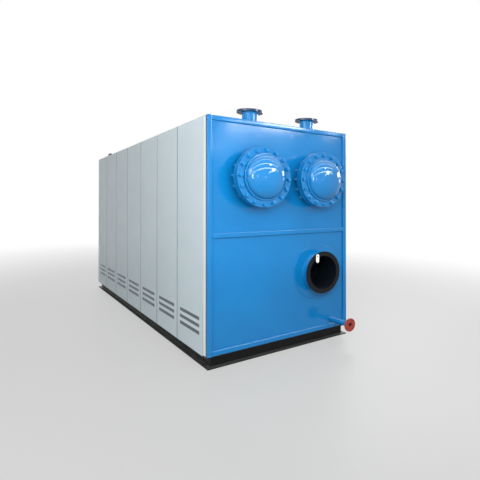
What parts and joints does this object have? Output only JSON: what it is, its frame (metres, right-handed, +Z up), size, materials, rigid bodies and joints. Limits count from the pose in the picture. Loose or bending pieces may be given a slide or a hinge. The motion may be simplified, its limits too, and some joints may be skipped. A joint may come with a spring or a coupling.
{
  "type": "industrial_boiler",
  "caption": "Packaged industrial boiler: white panelled casing on a black channel base, blue end frames, bolted dished drum covers, roof nozzles, flue port and drain.",
  "frame": {"origin": "on the floor, at the underside of the base's middle cross member, midway between the two ends and the two sides of the casing", "axes": "+X to the right as seen from the front, +Y from the front to the rear along the casing, +Z up"},
  "size_m": [1.79, 5.71, 2.625],
  "materials": {
    "blue_enamel": "glossy machinery enamel",
    "white_sheet_paint": "satin coated steel sheet",
    "black_base_paint": "satin black paint on hot-rolled channel",
    "red_flange_paint": "matt red primer",
    "black_flue_ring": "heat-resistant matt black paint",
    "steel_screen": "dark woven wire",
    "grey_fittings": "dark grey paint",
    "fibre_gasket": "compressed fibre sheet",
    "body_cladding": "plain sheet over insulation"
  },
  "bodies": {
    "root": {"front_stiles": "blue_enamel", "front_rails": "blue_enamel", "front_upper_sheet": "blue_enamel", "front_lower_sheet": "blue_enamel", "rear_stiles": "blue_enamel", "rear_rails": "blue_enamel", "rear_upper_sheet": "blue_enamel", "rear_lower_sheet": "blue_enamel", "left_drum_end": "blue_enamel", "right_drum_end": "blue_enamel", "left_cover": "blue_enamel", "right_cover": "blue_enamel", "left_nozzle": "blue_enamel", "right_nozzle": "blue_enamel", "flue_stub": "blue_enamel", "flue_collar": "blue_enamel", "drain_pipe": "blue_enamel", "left_panel_1": "white_sheet_paint", "left_panel_2": "white_sheet_paint", "left_panel_3": "white_sheet_paint", "left_panel_4": "white_sheet_paint", "left_panel_5": "white_sheet_paint", "left_panel_6": "white_sheet_paint", "left_panel_7": "white_sheet_paint", "right_panel_1": "white_sheet_paint", "right_panel_2": "white_sheet_paint", "right_panel_3": "white_sheet_paint", "right_panel_4": "white_sheet_paint", "right_panel_5": "white_sheet_paint", "right_panel_6": "white_sheet_paint", "right_panel_7": "white_sheet_paint", "front_corner_posts": "white_sheet_paint", "rear_corner_posts": "white_sheet_paint", "roof_sheets": "white_sheet_paint", "base_channel_left": "black_base_paint", "base_channel_right": "black_base_paint", "base_channel_front": "black_base_paint", "base_channel_rear": "black_base_paint", "base_cross_members": "black_base_paint", "drain_flange": "red_flange_paint", "flue_flange": "black_flue_ring", "vent_screens": "steel_screen", "roof_fittings": "grey_fittings", "cover_gaskets": "fibre_gasket", "insulated_body": "body_cladding"}
  },
  "joints": []
}
